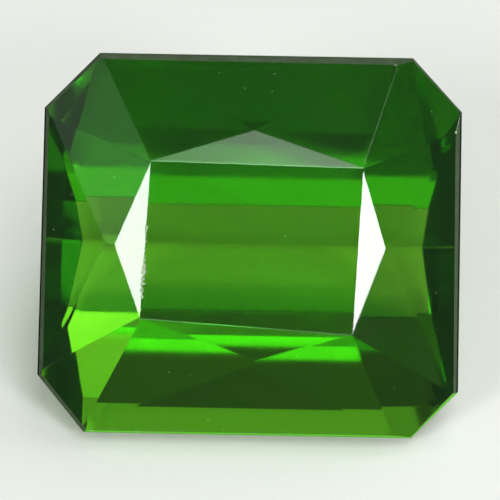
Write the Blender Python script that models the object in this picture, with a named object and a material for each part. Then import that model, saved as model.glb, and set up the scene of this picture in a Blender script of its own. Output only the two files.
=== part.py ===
"""A loose, cut green tourmaline: an octagon with a scissors-cut crown over a step-cut pavilion.

The stone is one solid crystal. It is ground as a real one is: the outline is shaped as a preform first,
and then one flat cut makes each facet. Its own frame is in millimetres. X runs along the keel, Y across
it towards the upper long side, and Z up out of the table, with Z = 0 where the bevel meets the girdle.
The cut stone then lies on the middle step of its lower long side, as a loose stone of this depth comes
to rest, so the table leans back and faces a viewer in front.
"""

import math

import bmesh
import bpy
from mathutils import Vector

MM = 0.001
# A point nearer than this to a cut counts as lying on it, in millimetres.
ON_THE_CUT = 0.0005
# The preform reaches this far past the table and past the keel, in millimetres.
SPARE = 0.5

# Green tourmaline.
BODY_COLOUR = (0.10, 0.42, 0.05, 1.0)
POLISH_ROUGHNESS = 0.02
REFRACTIVE_INDEX = 1.63

# The outline seen from above, anticlockwise from the right end of the upper long side.
OUTLINE = (
    (2.68, 3.14),
    (-2.55, 3.14),
    (-3.46, 2.21),
    (-3.51, -2.26),
    (-2.72, -3.21),
    (2.76, -3.21),
    (3.53, -2.43),
    (3.51, 2.25),
)
UPPER_SIDE, UPPER_LEFT, LEFT_END, LOWER_LEFT, LOWER_SIDE, LOWER_RIGHT, RIGHT_END, UPPER_RIGHT = range(8)

# The upright girdle, and the steep bevel that runs round above it.
GIRDLE_HEIGHT = 0.146
BEVEL_HEIGHT = 0.152
BEVEL_WIDTHS = {
    UPPER_SIDE: 0.11,
    UPPER_LEFT: 0.08,
    LEFT_END: 0.095,
    LOWER_LEFT: 0.08,
    LOWER_SIDE: 0.045,
    LOWER_RIGHT: 0.065,
    RIGHT_END: 0.095,
    UPPER_RIGHT: 0.08,
}

# The table.
TABLE_HEIGHT = 0.857
TABLE = {
    UPPER_LEFT: (-1.636, 1.362),
    UPPER_RIGHT: (1.872, 1.298),
    LOWER_RIGHT: (1.742, -1.468),
    LOWER_LEFT: (-1.776, -1.259),
}

# Each side of the crown, between two corners of the table. base holds the two points on top of the bevel
# where the scissor facet ends, blade_tip the point at its top, where the two blades cross over it, and
# star_tip the point where the same blades meet the star facet. The two tips also have heights.
CROWN = (
    {
        "corners": (UPPER_LEFT, UPPER_RIGHT),
        "base": ((-2.472, 3.025), (2.439, 3.054)),
        "blade_tip": (0.066, 1.907, 0.697),
        "star_tip": (0.067, 1.882, 0.706),
    },
    {
        "corners": (UPPER_RIGHT, LOWER_RIGHT),
        "base": ((3.419, 1.918), (3.387, -2.427)),
        "blade_tip": (2.343, -0.058, 0.692),
        "star_tip": (2.280, -0.045, 0.719),
    },
    {
        "corners": (LOWER_RIGHT, LOWER_LEFT),
        "base": ((2.429, -3.112), (-2.718, -3.068)),
        "blade_tip": (0.046, -2.021, 0.649),
        "star_tip": (0.044, -1.917, 0.690),
    },
    {
        "corners": (LOWER_LEFT, UPPER_LEFT),
        "base": ((-3.406, -2.144), (-3.325, 2.043)),
        "blade_tip": (-2.384, -0.015, 0.662),
        "star_tip": (-2.229, -0.024, 0.724),
    },
)

# The pavilion's long sides: each step's slope in degrees and its near edge's distance from the keel.
KEEL_DEPTH = 3.467
KEEL_OFFSET = -0.061
UPPER_STEPS = ((32.7, 0.0), (48.2, 0.673), (51.8, 2.811))
LOWER_STEPS = ((31.7, 0.0), (49.5, 1.116), (56.7, 2.472))
# The stone lies on this one of the lower steps, counted from the keel.
RESTING_STEP = 1

# The pavilion's ends and corners: the slope of each step in degrees and how far below the girdle it starts.
END_STEPS = {
    LEFT_END: ((69.9, 0.0), (62.8, 2.23)),
    RIGHT_END: ((68.9, 0.0), (66.4, 2.14)),
    UPPER_LEFT: ((62.5, 0.0), (60.8, 0.64)),
    LOWER_LEFT: ((63.0, 0.0), (46.8, 2.59)),
    LOWER_RIGHT: ((76.3, 0.0), (68.9, 2.72)),
    UPPER_RIGHT: ((58.7, 0.0),),
}

UP = Vector((0.0, 0.0, 1.0))


def preform():
    """The outline's eight walls, closed above the table and below the keel."""
    stone = bmesh.new()
    floor = -KEEL_DEPTH - SPARE
    base = stone.faces.new([stone.verts.new((x, y, floor)) for x, y in OUTLINE])
    raised = bmesh.ops.extrude_face_region(stone, geom=[base])["geom"]
    top = [item for item in raised if isinstance(item, bmesh.types.BMVert)]
    bmesh.ops.translate(stone, verts=top, vec=UP * (TABLE_HEIGHT + SPARE - floor))
    bmesh.ops.recalc_face_normals(stone, faces=stone.faces[:])
    return stone


def grind(stone, point, outward):
    """One flat facet: everything beyond the plane goes, and one face closes the cut."""
    bmesh.ops.bisect_plane(
        stone,
        geom=stone.verts[:] + stone.edges[:] + stone.faces[:],
        dist=ON_THE_CUT,
        plane_co=point,
        plane_no=outward,
        clear_outer=True,
    )
    bmesh.ops.contextual_create(stone, geom=[edge for edge in stone.edges if edge.is_boundary])


def grind_through(stone, a, b, c):
    """A facet through three points, which faces away from the middle of the stone."""
    outward = (b - a).cross(c - a).normalized()
    grind(stone, a, outward if outward.dot(a) > 0.0 else -outward)


def outline_side(index):
    """A point on one side of the outline, and the level direction straight out of that side."""
    start = Vector((*OUTLINE[index], 0.0))
    end = Vector((*OUTLINE[(index + 1) % len(OUTLINE)], 0.0))
    return start, (end - start).cross(UP).normalized()


def grind_table(stone):
    grind(stone, UP * TABLE_HEIGHT, UP)


def grind_bevel(stone):
    for index, width in BEVEL_WIDTHS.items():
        start, out = outline_side(index)
        grind(stone, start, (out * BEVEL_HEIGHT + UP * width).normalized())


def table_corner(name):
    return Vector((*TABLE[name], TABLE_HEIGHT))


def on_bevel(point):
    return Vector((*point, BEVEL_HEIGHT))


def grind_crown_side(stone, corners, base, blade_tip, star_tip):
    """The scissor facet, the two blades that cross above it, and the star between them and the table."""
    first, second = (table_corner(name) for name in corners)
    first_end, second_end = (on_bevel(point) for point in base)
    tip = Vector(blade_tip)
    grind_through(stone, first_end, second_end, tip)
    grind_through(stone, first, first_end, tip)
    grind_through(stone, second, second_end, tip)
    grind_through(stone, first, second, Vector(star_tip))


def grind_crown_corners(stone):
    """The facet at each corner, from the table's corner down to where the two sides' bases end."""
    for side, after in zip(CROWN, CROWN[1:] + CROWN[:1]):
        corner = table_corner(side["corners"][1])
        grind_through(stone, corner, on_bevel(side["base"][1]), on_bevel(after["base"][0]))


def step_planes(steps, side):
    """A point on each step of a long side, and its normal; side is +1 for the upper and -1 for the lower."""
    reach, depth = 0.0, -KEEL_DEPTH
    planes = []
    for index, (slope, start) in enumerate(steps):
        if index:
            depth += (start - reach) * math.tan(math.radians(steps[index - 1][0]))
            reach = start
        angle = math.radians(slope)
        point = Vector((0.0, KEEL_OFFSET + side * reach, depth))
        planes.append((point, Vector((0.0, side * math.sin(angle), -math.cos(angle)))))
    return planes


def end_planes(steps, start, out):
    """A point on each step of an end or a corner, and its normal; out points straight out of that side."""
    inward = 0.0
    depth = 0.0
    planes = []
    for index, (slope, begins) in enumerate(steps):
        if index:
            inward += (begins - depth) / math.tan(math.radians(steps[index - 1][0]))
            depth = begins
        angle = math.radians(slope)
        point = start - out * inward - UP * (GIRDLE_HEIGHT + depth)
        planes.append((point, out * math.sin(angle) - UP * math.cos(angle)))
    return planes


def grind_pavilion(stone):
    for steps, side in ((UPPER_STEPS, 1), (LOWER_STEPS, -1)):
        for point, outward in step_planes(steps, side):
            grind(stone, point, outward)
    for index, steps in END_STEPS.items():
        for point, outward in end_planes(steps, *outline_side(index)):
            grind(stone, point, outward)


def tourmaline():
    """Clear green crystal with a polished face."""
    material = bpy.data.materials.new("green tourmaline")
    material.use_nodes = True
    shader = material.node_tree.nodes["Principled BSDF"]
    shader.inputs["Base Color"].default_value = BODY_COLOUR
    shader.inputs["Roughness"].default_value = POLISH_ROUGHNESS
    shader.inputs["Metallic"].default_value = 0.0
    shader.inputs["IOR"].default_value = REFRACTIVE_INDEX
    shader.inputs["Transmission Weight"].default_value = 1.0
    return material


def cut_stone():
    """The finished mesh in metres, still in the stone's own frame."""
    stone = preform()
    grind_table(stone)
    grind_bevel(stone)
    for side in CROWN:
        grind_crown_side(stone, **side)
    grind_crown_corners(stone)
    grind_pavilion(stone)
    bmesh.ops.recalc_face_normals(stone, faces=stone.faces[:])
    bmesh.ops.scale(stone, vec=Vector((MM, MM, MM)), verts=stone.verts[:])
    mesh = bpy.data.meshes.new("stone")
    stone.to_mesh(mesh)
    stone.free()
    mesh.materials.append(tourmaline())
    return mesh


def lay_down(stone):
    """Turns the stone onto its resting step and centres it over the origin, on the level Z = 0."""
    stone.rotation_euler.x = math.radians(LOWER_STEPS[RESTING_STEP][0])
    bpy.context.view_layer.update()
    places = [stone.matrix_world @ vertex.co for vertex in stone.data.vertices]
    low = Vector(map(min, *places))
    high = Vector(map(max, *places))
    stone.location = (-(low.x + high.x) / 2, -(low.y + high.y) / 2, -low.z)


def main():
    for old in list(bpy.data.objects):
        bpy.data.objects.remove(old, do_unlink=True)
    stone = bpy.data.objects.new("stone", cut_stone())
    bpy.context.scene.collection.objects.link(stone)
    lay_down(stone)


main()
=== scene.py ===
"""The look of the cut tourmaline: polished facets with fine junctions, a ground edge, chips and a green body.

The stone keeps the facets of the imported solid. Lengths below are in millimetres, and the stone is finished
in millimetres too, then scaled to the frame's metres. The floor, the lamps and the camera come last.
"""

import math
import random
from collections import namedtuple

import bmesh
import bpy
from mathutils import Matrix, Vector


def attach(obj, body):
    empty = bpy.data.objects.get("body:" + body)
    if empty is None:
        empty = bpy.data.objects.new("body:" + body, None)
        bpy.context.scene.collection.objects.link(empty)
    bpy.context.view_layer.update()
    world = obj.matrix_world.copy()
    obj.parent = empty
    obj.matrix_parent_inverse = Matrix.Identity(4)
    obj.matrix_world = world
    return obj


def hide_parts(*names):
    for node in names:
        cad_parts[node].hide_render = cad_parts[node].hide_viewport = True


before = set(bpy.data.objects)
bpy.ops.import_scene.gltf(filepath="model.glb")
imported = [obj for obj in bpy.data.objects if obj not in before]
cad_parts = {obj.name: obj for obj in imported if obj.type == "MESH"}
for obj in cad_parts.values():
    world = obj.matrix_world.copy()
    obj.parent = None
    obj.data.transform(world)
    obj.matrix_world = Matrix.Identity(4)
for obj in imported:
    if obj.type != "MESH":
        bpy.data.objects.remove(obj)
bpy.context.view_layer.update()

MM = 0.001
NODE = "stone"

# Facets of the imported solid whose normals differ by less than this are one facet.
SAME_FACET = math.radians(0.4)
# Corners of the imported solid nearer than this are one, and a face this near a facet's plane belongs to it.
ON_FACET = 0.0008
# A corner this near a cut's plane lies on the cut.
ON_CUT = 0.00004
# The table's normal points up by at least this much, and to the front as well.
TABLE_FACING = 0.3
# The bevel and the girdle are ground, not polished: the facets whose normals lean this far from the table's.
# Those of the bevel lean less than WALL_LEAN, and those of the girdle's upright wall lean more.
GROUND_LEAN = (math.radians(40), math.radians(92))
WALL_LEAN = math.radians(85)
# Painted light, a bright green, stands for the light that comes through the bevel whose normal leans less
# than this from straight down the table.
PAINTED_LIGHT_LEAN = math.radians(50)
# The width of the worn line where two facets meet, and of the rounded rim between the bevel and the girdle.
JUNCTION_WIDTH = 0.015
RIM_WIDTH = 0.11
# The rim gets painted shade, a near-black tint, at the two ends, where its normal leans less than this from
# the stone's length.
PAINTED_SHADE_LEAN = math.radians(30)

# The stone's three surfaces, as material numbers on its mesh.
POLISHED, GROUND, BROKEN = range(3)

# Fine polishing lines on every facet: their height, their grain per metre, and how that is drawn out.
POLISH_DEPTH = 0.00002
POLISH_GRAIN = 9000.0
POLISH_STRETCH = (0.15, 1.0, 1.0)
# The polish has smears: their grain per metre, the span of the noise over which the roughness grows, and the
# least and the most roughness.
SMEAR_GRAIN = 900.0
SMEAR_SPAN = (0.4, 0.8)
POLISH_ROUGHNESS = (0.07, 0.12)

# The ground edge: its two tints, the grain per metre of their mottling, the tint of the painted shade on its
# rim's ends, and the bright green of the painted light on the narrow lower bevel. It scatters light and has
# no gloss.
GROUND_TINTS = ((0.040, 0.070, 0.034, 1.0), (0.110, 0.150, 0.090, 1.0))
MOTTLE_GRAIN = 6000.0
# Painted shade: a near-black tint on the rim's two ends.
PAINTED_SHADE_TINT = (0.007, 0.014, 0.005, 1.0)
# Painted light: a bright green on the lower bevel.
PAINTED_LIGHT_TINT = (0.16, 0.60, 0.05, 1.0)
GROUND_ROUGHNESS = 0.55
GROUND_GLOSS = 0.0

# The broken faces of the chips and pits: their two tints, and their roughness.
BROKEN_TINTS = ((0.20, 0.36, 0.14, 1.0), (0.80, 0.90, 0.72, 1.0))
BROKEN_ROUGHNESS = 0.3

# The frosting of the ground edge and of the chips: its height, and its grain per metre.
GRIT_DEPTH = 0.003
GRIT_GRAIN = 40000.0
# How many layers of ever finer noise the grit and the mottling have.
GRIT_DETAIL = 3.0
MOTTLE_DETAIL = 4.0

# Absorption per metre in red, green and blue, and the refractive index.
ABSORPTION = (455.0, 170.0, 950.0)
REFRACTIVE_INDEX = 1.63
# The absorption's density is this many times the strongest of the three, so that its colour is never black.
DENSITY_MARGIN = 1.2

# Chips on the table's left edge, as places along it from its upper end: from, to, how many, and their size.
CHIPPED = ((0.20, 0.30, 3, 0.026), (0.40, 0.58, 8, 0.045), (0.60, 0.88, 13, 0.072))
# Nicks in the bevel, as places along a side from its upper or left end, and their size.
NICKED = {
    "right": ((0.13, 0.030), (0.43, 0.024), (0.47, 0.030), (0.86, 0.020)),
    "upper": ((0.16, 0.024), (0.49, 0.018)),
    "lower": ((0.02, 0.026), (0.165, 0.030), (0.20, 0.024), (0.55, 0.018)),
}
# Fine pits on the crown: how many, and their smallest and largest size.
PITS = 34
PIT_SIZES = (0.007, 0.013)
WEAR_SEED = 5
# A chip lies within this part of its own stretch of the edge. Its size, and its extent in each direction,
# are between these shares of the named size, and its corners stray by this share.
CHIP_STRETCH = (0.1, 0.9)
CHIP_SHARES = (0.5, 1.0)
CHIP_LUMPS = 0.2

# The photograph's frame: its width at the stone, and where the stone's outline is centred in it.
PHOTO_WIDTH = 8.353
PHOTO_PIXELS = 500
OUTLINE_CENTRE = (249.9, 245.5)
# The stone sits turned this far clockwise in the picture.
CAMERA_ROLL = math.radians(1.0)
CAMERA_LENS = 400.0
CAMERA_SENSOR = 36.0
# How far the camera leans off the table's normal, as slopes to the stone's right and towards its top.
CAMERA_LEAN = (0.0154, 0.0258)
# The nearest and the farthest place that the camera sees, as shares of its distance.
CAMERA_CLIP = (0.1, 20.0)

# The floor is a pale card: half its width, and how far it reaches behind the stone's middle. Its front edge
# lies just below the picture, so that the stone's lower facets don't mirror it.
FLOOR_SIDE = 60.0
FLOOR_BACK = 100.0
FLOOR_FRONT = 4.1
FLOOR_COLOUR = (0.92, 0.95, 0.90, 1.0)
FLOOR_ROUGHNESS = 0.8
# The air under the stone, without which the floor would spoil the mirror of its resting facet.
FLOOR_GAP = 0.02

# Each lamp is flat, has soft edges and faces the stone. Its place is given in degrees over the stone, from 0
# at the front horizon to 180 at the back one, and in degrees to the right. Its half sizes, across and along
# that arc, are in degrees as the stone sees them. The last number is its radiance.
LAMP_DISTANCE = 300.0
ROUND_LAMPS = {
    "left key": (40.5, -29.7, 7.4, 7.4, 15.0),
    "right key": (37.0, 31.7, 6.2, 6.2, 17.0),
}
SOFT_BOXES = {
    "front": (24.0, -5.0, 32.0, 6.0, 1.55),
    "front low": (27.0, 3.0, 18.0, 6.5, 0.32),
    "upper": (56.0, 8.0, 14.0, 8.0, 3.0),
    "upper left": (61.0, -34.0, 16.0, 14.0, 0.45),
    "overhead": (66.0, 10.0, 11.0, 11.0, 3.8),
    "top": (103.0, 10.0, 6.0, 7.0, 3.5),
    "back spot": (119.0, 9.0, 5.0, 4.0, 1.2),
    "back faint": (126.0, 2.0, 4.0, 3.0, 0.08),
    "back right": (127.0, 58.0, 44.0, 21.0, 0.75),
    "back wide": (148.0, 20.0, 35.0, 11.0, 0.53),
    "low right": (148.0, 77.0, 15.0, 22.0, 2.6),
    "back low": (159.0, -1.0, 19.0, 5.0, 0.24),
}
# A lamp's light fades away from this share of its size inside its edge to the same share outside it: for the
# round lamps, and for the boxes.
ROUND_EDGE = 0.15
BOX_EDGE = 0.45
# The faint light from all round.
DOME = (0.12, 0.12, 0.12, 1.0)

# How often light may bounce in all, and how often it may be reflected or refracted on its way.
ALL_BOUNCES = 24
CLEAR_BOUNCES = 20

# The stone's directions, as the picture shows it: right and up along the table, and straight out of it.
Axes = namedtuple("Axes", "right up out")
# A facet: its plane's normal and offset, its surface, and whether it gets painted shade (dark rim) or painted
# light.
Facet = namedtuple("Facet", "normal offset surface rim lit")


def whole_facets(solid):
    """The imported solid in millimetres, its triangles merged back into whole facets."""
    work = bmesh.new()
    corners = [work.verts.new(vert.co / MM) for vert in solid.vertices]
    for triangle in solid.polygons:
        work.faces.new([corners[index] for index in triangle.vertices])
    bmesh.ops.remove_doubles(work, verts=work.verts[:], dist=ON_FACET)
    bmesh.ops.dissolve_limit(work, angle_limit=SAME_FACET, verts=work.verts[:], edges=work.edges[:])
    work.normal_update()
    return work


def table_of(work):
    """The table is the largest facet that faces up and to the front."""
    towards = [
        face for face in work.faces if face.normal.z > TABLE_FACING and face.normal.y < -TABLE_FACING
    ]
    return max(towards, key=lambda face: face.calc_area())


def axes_of(table):
    out = table.normal.copy()
    right = Vector((1.0, 0.0, 0.0))
    return Axes(right, out.cross(right).normalized(), out)


def middle_of_outline(work, axes):
    """The middle of the outline, on the level where it is widest."""
    points = [vert.co for vert in work.verts]
    widest = max(points, key=lambda point: point.dot(axes.right))
    across = [point.dot(axes.right) for point in points]
    along = [point.dot(axes.up) for point in points]
    middle = axes.right * (max(across) + min(across)) / 2 + axes.up * (max(along) + min(along)) / 2
    return middle + axes.out * widest.dot(axes.out)


def is_bevel(normal, axes):
    return GROUND_LEAN[0] < normal.angle(axes.out) < WALL_LEAN


def is_ground(normal, axes):
    return GROUND_LEAN[0] < normal.angle(axes.out) < GROUND_LEAN[1]


def is_rim(edge, axes):
    """True for an edge between the bevel and the girdle's upright wall."""
    leans = sorted(face.normal.angle(axes.out) for face in edge.link_faces)
    return GROUND_LEAN[0] < leans[0] < WALL_LEAN < leans[1] < GROUND_LEAN[1]


def table_edge(table, axes):
    """The upper and lower ends of the table's left edge."""
    edge = min(table.edges, key=lambda edge: sum(vert.co.dot(axes.right) for vert in edge.verts))
    return sorted((vert.co.copy() for vert in edge.verts), key=lambda end: -end.dot(axes.up))


def bevel_line(work, towards, axes):
    """The two ends of the bevel's upper line on one side of the stone, the upper or left end first."""
    bevel = [face for face in work.faces if is_bevel(face.normal, axes)]
    facet = max(bevel, key=lambda face: face.normal.dot(towards))
    line = max(facet.edges, key=lambda edge: sum(vert.co.dot(axes.out) for vert in edge.verts))
    return sorted((vert.co.copy() for vert in line.verts), key=lambda end: end.dot(axes.right - axes.up))


def worn_lines(work, table, axes):
    """The lines on which the stone is chipped, each by its name."""
    return {
        "table": table_edge(table, axes),
        "right": bevel_line(work, axes.right, axes),
        "upper": bevel_line(work, axes.up, axes),
        "lower": bevel_line(work, -axes.up, axes),
    }


def crown_facets(work, axes):
    """The corners and the area of each polished facet on the crown."""
    crown = [face for face in work.faces if face.normal.angle(axes.out) < GROUND_LEAN[0]]
    return [([vert.co.copy() for vert in face.verts], face.calc_area()) for face in crown]


def cut(work, point, outward):
    """Takes off everything beyond a plane and closes the cut with one face."""
    bmesh.ops.bisect_plane(
        work,
        geom=work.verts[:] + work.edges[:] + work.faces[:],
        dist=ON_CUT,
        plane_co=point,
        plane_no=outward,
        clear_outer=True,
    )
    bmesh.ops.contextual_create(work, geom=[edge for edge in work.edges if edge.is_boundary])


def wear_junctions(work, axes):
    """A fine flat along each edge, and a wider one along the rim between the bevel and the girdle.

    The normals of the rim's parts at the two ends, which get painted shade, are given back.
    """
    cuts = []
    painted_shade_normals = []
    for edge in work.edges:
        first, second = (face.normal for face in edge.link_faces)
        outward = (first + second).normalized()
        width = JUNCTION_WIDTH
        if is_rim(edge, axes):
            width = RIM_WIDTH
            # The rim's parts at the two ends are kept, to be given painted shade.
            if abs(outward.dot(axes.right)) > math.cos(PAINTED_SHADE_LEAN):
                painted_shade_normals.append(outward)
        depth = width * math.tan(first.angle(second) / 2) / 2
        cuts.append((edge.verts[0].co - outward * depth, outward))
    for point, outward in cuts:
        cut(work, point, outward)
    work.normal_update()
    return painted_shade_normals


def describe(face, axes, painted_shade_normals):
    """What give_surfaces needs to know of a facet."""
    normal = face.normal.copy()
    return Facet(
        normal=normal,
        offset=normal.dot(face.verts[0].co),
        surface=GROUND if is_ground(normal, axes) else POLISHED,
        # Painted shade on the rim's ends, and painted light on the lower bevel.
        rim=any(normal.angle(other) < SAME_FACET for other in painted_shade_normals),
        lit=normal.angle(-axes.up) < PAINTED_LIGHT_LEAN and normal.angle(axes.out) < WALL_LEAN,
    )


def to_object(name, work):
    """A linked object from a bmesh, which is freed."""
    mesh = bpy.data.meshes.new(name)
    work.to_mesh(mesh)
    work.free()
    made = bpy.data.objects.new(name, mesh)
    bpy.context.scene.collection.objects.link(made)
    return made


def chip(cutters, place, size, dice):
    """One small, lumpy bite."""
    spread = Matrix.Diagonal([size * dice.uniform(*CHIP_SHARES) for _ in range(3)]).to_4x4()
    turn = Matrix.Rotation(dice.uniform(0.0, math.tau), 4, Vector([dice.uniform(-1, 1) for _ in range(3)]))
    matrix = Matrix.Translation(place) @ turn @ spread
    lump = bmesh.ops.create_icosphere(cutters, subdivisions=1, radius=1.0, matrix=matrix)
    for vert in lump["verts"]:
        vert.co += Vector([dice.uniform(-CHIP_LUMPS, CHIP_LUMPS) * size for _ in range(3)])


def bites(lines, crown):
    """What to take out of the stone: the table's chipped edge, nicks in the bevel, and pits on the crown."""
    dice = random.Random(WEAR_SEED)
    cutters = bmesh.new()
    first, last = lines["table"]
    for start, stop, count, size in CHIPPED:
        for index in range(count):
            along = start + (stop - start) * (index + dice.uniform(*CHIP_STRETCH)) / count
            chip(cutters, first.lerp(last, along), size * dice.uniform(*CHIP_SHARES), dice)
    for side, nicks in NICKED.items():
        first, last = lines[side]
        for along, size in nicks:
            chip(cutters, first.lerp(last, along), size, dice)
    facets, areas = zip(*crown)
    for corners in dice.choices(facets, areas, k=PITS):
        shares = [dice.random() for _ in corners]
        place = sum((corner * share for corner, share in zip(corners, shares)), Vector()) / sum(shares)
        chip(cutters, place, dice.uniform(*PIT_SIZES), dice)
    return to_object("bites", cutters)


def take_out(piece, cutter):
    """Takes the bites out of the stone, and removes them."""
    modifier = piece.modifiers.new("wear", "BOOLEAN")
    modifier.object = cutter
    modifier.solver = "EXACT"
    modifier.use_self = True
    graph = bpy.context.evaluated_depsgraph_get()
    worn = bpy.data.meshes.new_from_object(piece.evaluated_get(graph))
    piece.modifiers.clear()
    piece.data = worn
    bpy.data.objects.remove(cutter)


def give_surfaces(mesh, facets):
    """Gives each face its surface. A face that lies on none of the facets is the broken face of a chip."""
    mesh.materials.clear()
    for material in (polished_crystal(), ground_crystal(), broken_crystal()):
        mesh.materials.append(material)
    # Masks of the painted shade on the rim's ends and of the painted light on the lower bevel.
    rim, lit = (mesh.attributes.new(name, "FLOAT", "FACE") for name in ("rim", "lit"))
    for face in mesh.polygons:
        face.material_index = BROKEN
        for facet in facets:
            near = abs(facet.normal.dot(face.center) / MM - facet.offset) < ON_FACET
            if near and face.normal.angle(facet.normal) < SAME_FACET:
                face.material_index = facet.surface
                rim.data[face.index].value = float(facet.rim)
                lit.data[face.index].value = float(facet.lit)


def build_stone():
    """Makes the dressed stone, and gives back its axes and the middle of its outline."""
    work = whole_facets(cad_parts[NODE].data)
    table = table_of(work)
    axes = axes_of(table)
    centre = middle_of_outline(work, axes)
    lines = worn_lines(work, table, axes)
    crown = crown_facets(work, axes)
    painted_shade_normals = wear_junctions(work, axes)
    facets = [describe(face, axes, painted_shade_normals) for face in work.faces]
    piece = to_object("cut_stone", work)
    take_out(piece, bites(lines, crown))
    piece.data.transform(Matrix.Scale(MM, 4))
    give_surfaces(piece.data, facets)
    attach(piece, "root")
    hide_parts(NODE)
    return axes, centre


def add(tree, kind, **values):
    """A node with its properties set; a value for an input is given by the input's name."""
    node = tree.nodes.new(kind)
    for name, value in values.items():
        if hasattr(node, name):
            setattr(node, name, value)
        else:
            node.inputs[name].default_value = value
    return node


def noise(tree, place, scale, stretch=(1.0, 1.0, 1.0), detail=2.0):
    """A noise texture in object space, with its grain drawn out by stretch. Scale is in cells per metre."""
    spread = add(tree, "ShaderNodeVectorMath", operation="MULTIPLY")
    spread.inputs[1].default_value = stretch
    tree.links.new(place, spread.inputs[0])
    texture = add(tree, "ShaderNodeTexNoise", Scale=scale, Detail=detail)
    tree.links.new(spread.outputs["Vector"], texture.inputs["Vector"])
    return texture.outputs["Fac"]


def map_range(tree, value, old, new):
    """The value, with the span old stretched onto the span new and clipped to it."""
    node = add(tree, "ShaderNodeMapRange")
    node.inputs["From Min"].default_value, node.inputs["From Max"].default_value = old
    node.inputs["To Min"].default_value, node.inputs["To Max"].default_value = new
    tree.links.new(value, node.inputs["Value"])
    return node.outputs["Result"]


def mix(tree, factor, first, second):
    """A mix of two tints. The first one may be another node's output."""
    node = add(tree, "ShaderNodeMix", data_type="RGBA")
    if isinstance(first, bpy.types.NodeSocket):
        tree.links.new(first, node.inputs["A"])
    else:
        node.inputs["A"].default_value = first
    node.inputs["B"].default_value = second
    tree.links.new(factor, node.inputs["Factor"])
    return node.outputs["Result"]


def bump(tree, height, depth):
    """A bump node's normal, from a height of 0 to 1 and a depth in millimetres."""
    node = add(tree, "ShaderNodeBump", Strength=1.0, Distance=depth * MM)
    tree.links.new(height, node.inputs["Height"])
    return node.outputs["Normal"]


def new_material(name):
    """A material of the stone, its node tree, its shader, and the place in object space."""
    material = bpy.data.materials.new(name)
    material.use_nodes = True
    tree = material.node_tree
    shader = tree.nodes["Principled BSDF"]
    shader.inputs["IOR"].default_value = REFRACTIVE_INDEX
    return material, tree, shader, add(tree, "ShaderNodeTexCoord").outputs["Object"]


def polished_crystal():
    """Clear green tourmaline, coloured by absorption with depth, with faint polishing lines."""
    material, tree, shader, place = new_material("tourmaline")
    shader.inputs["Base Color"].default_value = (1.0, 1.0, 1.0, 1.0)
    shader.inputs["Transmission Weight"].default_value = 1.0
    smears = noise(tree, place, SMEAR_GRAIN)
    tree.links.new(map_range(tree, smears, SMEAR_SPAN, POLISH_ROUGHNESS), shader.inputs["Roughness"])
    lines = noise(tree, place, POLISH_GRAIN, POLISH_STRETCH)
    tree.links.new(bump(tree, lines, POLISH_DEPTH), shader.inputs["Normal"])

    body = add(tree, "ShaderNodeVolumeAbsorption")
    density = max(ABSORPTION) * DENSITY_MARGIN
    body.inputs["Density"].default_value = density
    body.inputs["Color"].default_value = (*(1.0 - part / density for part in ABSORPTION), 1.0)
    tree.links.new(body.outputs["Volume"], tree.nodes["Material Output"].inputs["Volume"])
    return material


def ground_crystal():
    """The frosted, gritty, mottled edge left by grinding, with painted shade on the rim's ends and painted
    light on the lower bevel.
    """
    material, tree, shader, place = new_material("ground tourmaline")
    tint = mix(tree, noise(tree, place, MOTTLE_GRAIN, detail=MOTTLE_DETAIL), *GROUND_TINTS)
    # Painted light on the lower bevel, then painted shade on the rim's ends.
    for name, other in (("lit", PAINTED_LIGHT_TINT), ("rim", PAINTED_SHADE_TINT)):
        share = add(tree, "ShaderNodeAttribute", attribute_name=name).outputs["Fac"]
        tint = mix(tree, share, tint, other)
    tree.links.new(tint, shader.inputs["Base Color"])
    shader.inputs["Roughness"].default_value = GROUND_ROUGHNESS
    shader.inputs["Specular IOR Level"].default_value = GROUND_GLOSS
    grit = noise(tree, place, GRIT_GRAIN, detail=GRIT_DETAIL)
    tree.links.new(bump(tree, grit, GRIT_DEPTH), shader.inputs["Normal"])
    return material


def broken_crystal():
    """The broken faces of the chips and pits, which scatter light and look pale."""
    material, tree, shader, place = new_material("broken tourmaline")
    grit = noise(tree, place, GRIT_GRAIN, detail=GRIT_DETAIL)
    tree.links.new(mix(tree, grit, *BROKEN_TINTS), shader.inputs["Base Color"])
    shader.inputs["Roughness"].default_value = BROKEN_ROUGHNESS
    tree.links.new(bump(tree, grit, GRIT_DEPTH), shader.inputs["Normal"])
    return material


def build_floor():
    sides = (-FLOOR_SIDE, FLOOR_SIDE)
    corners = [(x * MM, y * MM, -FLOOR_GAP * MM) for y in (-FLOOR_FRONT, FLOOR_BACK) for x in sides]
    mesh = bpy.data.meshes.new("floor")
    mesh.from_pydata(corners, [], [(0, 1, 3, 2)])
    floor = bpy.data.objects.new("floor", mesh)
    bpy.context.scene.collection.objects.link(floor)
    material = bpy.data.materials.new("pale floor")
    material.use_nodes = True
    shader = material.node_tree.nodes["Principled BSDF"]
    shader.inputs["Base Color"].default_value = FLOOR_COLOUR
    shader.inputs["Roughness"].default_value = FLOOR_ROUGHNESS
    shader.inputs["Specular IOR Level"].default_value = 0.0
    mesh.materials.append(material)


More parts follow.
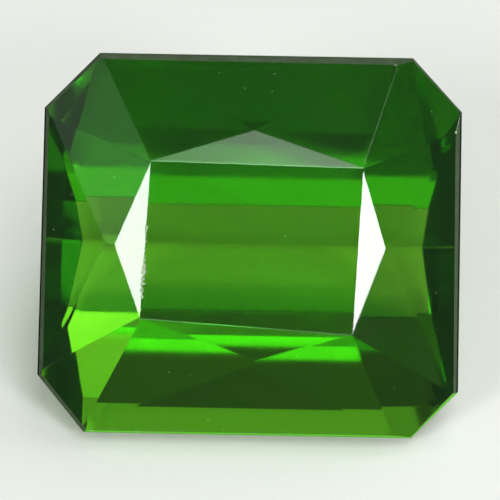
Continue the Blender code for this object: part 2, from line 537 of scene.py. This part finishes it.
def far_from_middle(tree, is_round):
    """How far a point of the lamp lies from its middle: 0 there, and 1 at its outer edge."""
    # The lamp's own coordinates run from 0 to 1, and here from -1 to 1.
    place = add(tree, "ShaderNodeNewGeometry").outputs["Parametric"]
    centred = add(tree, "ShaderNodeVectorMath", operation="MULTIPLY_ADD")
    centred.inputs[1].default_value = (2.0, 2.0, 0.0)
    centred.inputs[2].default_value = (-1.0, -1.0, 0.0)
    tree.links.new(place, centred.inputs[0])
    if is_round:
        length = add(tree, "ShaderNodeVectorMath", operation="LENGTH")
        tree.links.new(centred.outputs["Vector"], length.inputs[0])
        return length.outputs["Value"]
    split = add(tree, "ShaderNodeSeparateXYZ")
    tree.links.new(centred.outputs["Vector"], split.inputs["Vector"])
    larger = add(tree, "ShaderNodeMath", operation="MAXIMUM")
    for index in range(2):
        side = add(tree, "ShaderNodeMath", operation="ABSOLUTE")
        tree.links.new(split.outputs[index], side.inputs[0])
        tree.links.new(side.outputs[0], larger.inputs[index])
    return larger.outputs[0]


def soften(light, soft_edge, is_round):
    """Lets a lamp's light fade away across its edge."""
    light.use_nodes = True
    tree = light.node_tree
    fading = ((1.0 - soft_edge) / (1.0 + soft_edge), 1.0)
    strength = map_range(tree, far_from_middle(tree, is_round), fading, (1.0, 0.0))
    tree.links.new(strength, tree.nodes["Emission"].inputs["Strength"])


def build_lamp(name, is_round, soft_edge, over, right, half_across, half_along, radiance):
    """One lamp, made larger by soft_edge, because its light fades out that far beyond its named size."""
    turn, lift = math.radians(right), math.radians(over)
    level = Vector((0.0, -math.cos(lift), math.sin(lift)))
    east = Vector((1.0, 0.0, 0.0))
    away = level * math.cos(turn) + east * math.sin(turn)
    across = (east - away * east.dot(away)).normalized()
    distance = LAMP_DISTANCE * MM
    reach = 2.0 * distance * (1.0 + soft_edge)
    light = bpy.data.lights.new(name, "AREA")
    light.shape = "ELLIPSE" if is_round else "RECTANGLE"
    light.size = reach * math.tan(math.radians(half_across))
    light.size_y = reach * math.tan(math.radians(half_along))
    area = light.size * light.size_y * (math.pi / 4 if is_round else 1.0)
    light.energy = radiance * math.pi * area
    soften(light, soft_edge, is_round)
    lamp = bpy.data.objects.new(name, light)
    lamp.matrix_world = Matrix((across, away.cross(across), away)).transposed().to_4x4()
    lamp.location = away * distance
    lamp.visible_camera = False
    bpy.context.scene.collection.objects.link(lamp)


def build_lamps():
    for name, values in ROUND_LAMPS.items():
        build_lamp(name, True, ROUND_EDGE, *values)
    for name, values in SOFT_BOXES.items():
        build_lamp(name, False, BOX_EDGE, *values)
    world = bpy.data.worlds.new("dome")
    world.use_nodes = True
    world.node_tree.nodes["Background"].inputs["Color"].default_value = DOME
    bpy.context.scene.world = world


def build_camera(axes, centre):
    """The camera of the photograph, which looks down square on the table."""
    pixel = PHOTO_WIDTH / PHOTO_PIXELS
    middle = PHOTO_PIXELS / 2
    away = (axes.out + axes.right * CAMERA_LEAN[0] + axes.up * CAMERA_LEAN[1]).normalized()
    level_up = (axes.up - away * axes.up.dot(away)).normalized()
    level_right = level_up.cross(away)
    screen_up = level_up * math.cos(CAMERA_ROLL) - level_right * math.sin(CAMERA_ROLL)
    screen_right = screen_up.cross(away)
    aim = centre + screen_right * (middle - OUTLINE_CENTRE[0]) * pixel
    aim += screen_up * (OUTLINE_CENTRE[1] - middle) * pixel
    distance = PHOTO_WIDTH * CAMERA_LENS / CAMERA_SENSOR
    data = bpy.data.cameras.new("camera")
    data.lens = CAMERA_LENS
    data.sensor_width = CAMERA_SENSOR
    data.clip_start, data.clip_end = (distance * share * MM for share in CAMERA_CLIP)
    camera = bpy.data.objects.new("camera", data)
    bpy.context.scene.collection.objects.link(camera)
    pose = Matrix((screen_right, screen_up, away)).transposed().to_4x4()
    pose.translation = (aim + away * distance) * MM
    camera.matrix_world = pose
    bpy.context.scene.camera = camera


def set_look():
    scene = bpy.context.scene
    scene.view_settings.view_transform = "Standard"
    scene.cycles.max_bounces = ALL_BOUNCES
    scene.cycles.glossy_bounces = CLEAR_BOUNCES
    scene.cycles.transmission_bounces = CLEAR_BOUNCES


axes, centre = build_stone()
build_floor()
build_lamps()
build_camera(axes, centre)
set_look()
